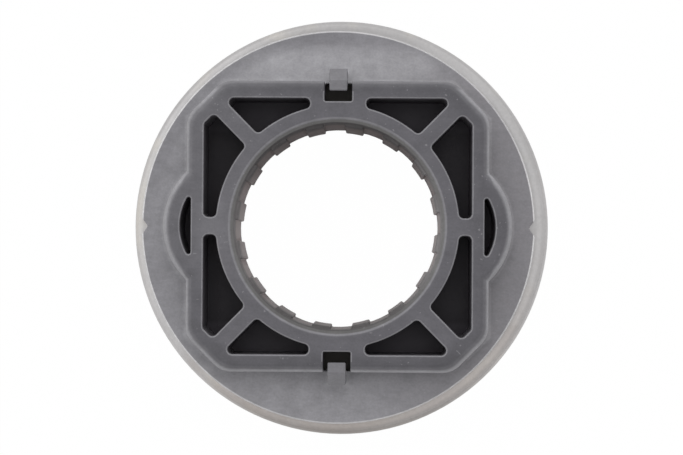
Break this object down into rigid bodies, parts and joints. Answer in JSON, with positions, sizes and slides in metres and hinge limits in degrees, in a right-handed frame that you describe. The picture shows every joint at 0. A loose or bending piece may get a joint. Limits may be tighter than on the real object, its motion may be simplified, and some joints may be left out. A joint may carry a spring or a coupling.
{
  "type": "clutch release bearing",
  "caption": "Clutch release bearing: a moulded guide sleeve with a ribbed bore, flange, pocketed lever frame and hooks carries a ball bearing that shifts to centre itself.",
  "frame": {"origin": "on the ball bearing's axis, at the contact face it lies on", "axes": "+Z along the axis to the lever side, +X through a bulge of the lever frame, +Y through a hook"},
  "size_m": [0.0738, 0.0738, 0.025],
  "materials": {
    "sleeve_plastic": "moulded",
    "ring_steel": "satin",
    "spring_steel": "satin",
    "ball_steel": "polished",
    "cage_plastic": "moulded",
    "seal_rubber": "matte"
  },
  "bodies": {
    "sleeve": {"guide_sleeve": "sleeve_plastic", "retaining_ring": "spring_steel"},
    "spring": {"spring_washer": "spring_steel"},
    "inner": {"inner_ring": "ring_steel", "front_seal": "seal_rubber"},
    "outer": {"outer_ring": "ring_steel", "rear_seal": "seal_rubber"},
    "cage": {"ball_cage": "cage_plastic"},
    "ball_1": {"ball_1": "ball_steel"},
    "ball_2": {"ball_2": "ball_steel"},
    "ball_3": {"ball_3": "ball_steel"},
    "ball_4": {"ball_4": "ball_steel"},
    "ball_5": {"ball_5": "ball_steel"},
    "ball_6": {"ball_6": "ball_steel"},
    "ball_7": {"ball_7": "ball_steel"},
    "ball_8": {"ball_8": "ball_steel"},
    "ball_9": {"ball_9": "ball_steel"},
    "ball_10": {"ball_10": "ball_steel"},
    "ball_11": {"ball_11": "ball_steel"},
    "ball_12": {"ball_12": "ball_steel"},
    "ball_13": {"ball_13": "ball_steel"},
    "ball_14": {"ball_14": "ball_steel"},
    "ball_15": {"ball_15": "ball_steel"},
    "ball_16": {"ball_16": "ball_steel"},
    "ball_17": {"ball_17": "ball_steel"},
    "ball_18": {"ball_18": "ball_steel"}
  },
  "joints": [
    {"name": "float_x", "type": "slide", "parent": "sleeve", "child": "spring", "axis": [1, 0, 0], "range_m": [-0.00135, 0.00025]},
    {"name": "float_y", "type": "slide", "parent": "spring", "child": "inner", "axis": [0, 1, 0], "range_m": [-0.0008, 0.0008]},
    {"name": "ring_spin", "type": "hinge", "parent": "inner", "child": "outer", "pos_m": [0, 0, 0.0065], "axis": [0, 0, 1], "continuous": true},
    {"name": "cage_orbit", "type": "hinge", "parent": "inner", "child": "cage", "pos_m": [0, 0, 0.0065], "axis": [0, 0, 1], "continuous": true},
    {"name": "ball_1_roll", "type": "hinge", "parent": "cage", "child": "ball_1", "pos_m": [0.0305, 0, 0.0065], "axis": [0.7071, 0, 0.7071], "continuous": true},
    {"name": "ball_2_roll", "type": "hinge", "parent": "cage", "child": "ball_2", "pos_m": [0.02866, 0.01043, 0.0065], "axis": [0.6645, 0.2418, 0.7071], "continuous": true},
    {"name": "ball_3_roll", "type": "hinge", "parent": "cage", "child": "ball_3", "pos_m": [0.02336, 0.01961, 0.0065], "axis": [0.5417, 0.4545, 0.7071], "continuous": true},
    {"name": "ball_4_roll", "type": "hinge", "parent": "cage", "child": "ball_4", "pos_m": [0.01525, 0.02641, 0.0065], "axis": [0.3536, 0.6124, 0.7071], "continuous": true},
    {"name": "ball_5_roll", "type": "hinge", "parent": "cage", "child": "ball_5", "pos_m": [0.0053, 0.03004, 0.0065], "axis": [0.1228, 0.6964, 0.7071], "continuous": true},
    {"name": "ball_6_roll", "type": "hinge", "parent": "cage", "child": "ball_6", "pos_m": [-0.0053, 0.03004, 0.0065], "axis": [-0.1228, 0.6964, 0.7071], "continuous": true},
    {"name": "ball_7_roll", "type": "hinge", "parent": "cage", "child": "ball_7", "pos_m": [-0.01525, 0.02641, 0.0065], "axis": [-0.3536, 0.6124, 0.7071], "continuous": true},
    {"name": "ball_8_roll", "type": "hinge", "parent": "cage", "child": "ball_8", "pos_m": [-0.02336, 0.01961, 0.0065], "axis": [-0.5417, 0.4545, 0.7071], "continuous": true},
    {"name": "ball_9_roll", "type": "hinge", "parent": "cage", "child": "ball_9", "pos_m": [-0.02866, 0.01043, 0.0065], "axis": [-0.6645, 0.2418, 0.7071], "continuous": true},
    {"name": "ball_10_roll", "type": "hinge", "parent": "cage", "child": "ball_10", "pos_m": [-0.0305, 0, 0.0065], "axis": [-0.7071, 0, 0.7071], "continuous": true},
    {"name": "ball_11_roll", "type": "hinge", "parent": "cage", "child": "ball_11", "pos_m": [-0.02866, -0.01043, 0.0065], "axis": [-0.6645, -0.2418, 0.7071], "continuous": true},
    {"name": "ball_12_roll", "type": "hinge", "parent": "cage", "child": "ball_12", "pos_m": [-0.02336, -0.01961, 0.0065], "axis": [-0.5417, -0.4545, 0.7071], "continuous": true},
    {"name": "ball_13_roll", "type": "hinge", "parent": "cage", "child": "ball_13", "pos_m": [-0.01525, -0.02641, 0.0065], "axis": [-0.3536, -0.6124, 0.7071], "continuous": true},
    {"name": "ball_14_roll", "type": "hinge", "parent": "cage", "child": "ball_14", "pos_m": [-0.0053, -0.03004, 0.0065], "axis": [-0.1228, -0.6964, 0.7071], "continuous": true},
    {"name": "ball_15_roll", "type": "hinge", "parent": "cage", "child": "ball_15", "pos_m": [0.0053, -0.03004, 0.0065], "axis": [0.1228, -0.6964, 0.7071], "continuous": true},
    {"name": "ball_16_roll", "type": "hinge", "parent": "cage", "child": "ball_16", "pos_m": [0.01525, -0.02641, 0.0065], "axis": [0.3536, -0.6124, 0.7071], "continuous": true},
    {"name": "ball_17_roll", "type": "hinge", "parent": "cage", "child": "ball_17", "pos_m": [0.02336, -0.01961, 0.0065], "axis": [0.5417, -0.4545, 0.7071], "continuous": true},
    {"name": "ball_18_roll", "type": "hinge", "parent": "cage", "child": "ball_18", "pos_m": [0.02866, -0.01043, 0.0065], "axis": [0.6645, -0.2418, 0.7071], "continuous": true}
  ],
  "couplings": [
    {"joint": "cage_orbit", "follows": "ring_spin", "ratio": 0.5414},
    {"joint": "ball_1_roll", "follows": "ring_spin", "ratio": 4.24},
    {"joint": "ball_2_roll", "follows": "ring_spin", "ratio": 4.24},
    {"joint": "ball_3_roll", "follows": "ring_spin", "ratio": 4.24},
    {"joint": "ball_4_roll", "follows": "ring_spin", "ratio": 4.24},
    {"joint": "ball_5_roll", "follows": "ring_spin", "ratio": 4.24},
    {"joint": "ball_6_roll", "follows": "ring_spin", "ratio": 4.24},
    {"joint": "ball_7_roll", "follows": "ring_spin", "ratio": 4.24},
    {"joint": "ball_8_roll", "follows": "ring_spin", "ratio": 4.24},
    {"joint": "ball_9_roll", "follows": "ring_spin", "ratio": 4.24},
    {"joint": "ball_10_roll", "follows": "ring_spin", "ratio": 4.24},
    {"joint": "ball_11_roll", "follows": "ring_spin", "ratio": 4.24},
    {"joint": "ball_12_roll", "follows": "ring_spin", "ratio": 4.24},
    {"joint": "ball_13_roll", "follows": "ring_spin", "ratio": 4.24},
    {"joint": "ball_14_roll", "follows": "ring_spin", "ratio": 4.24},
    {"joint": "ball_15_roll", "follows": "ring_spin", "ratio": 4.24},
    {"joint": "ball_16_roll", "follows": "ring_spin", "ratio": 4.24},
    {"joint": "ball_17_roll", "follows": "ring_spin", "ratio": 4.24},
    {"joint": "ball_18_roll", "follows": "ring_spin", "ratio": 4.24}
  ]
}
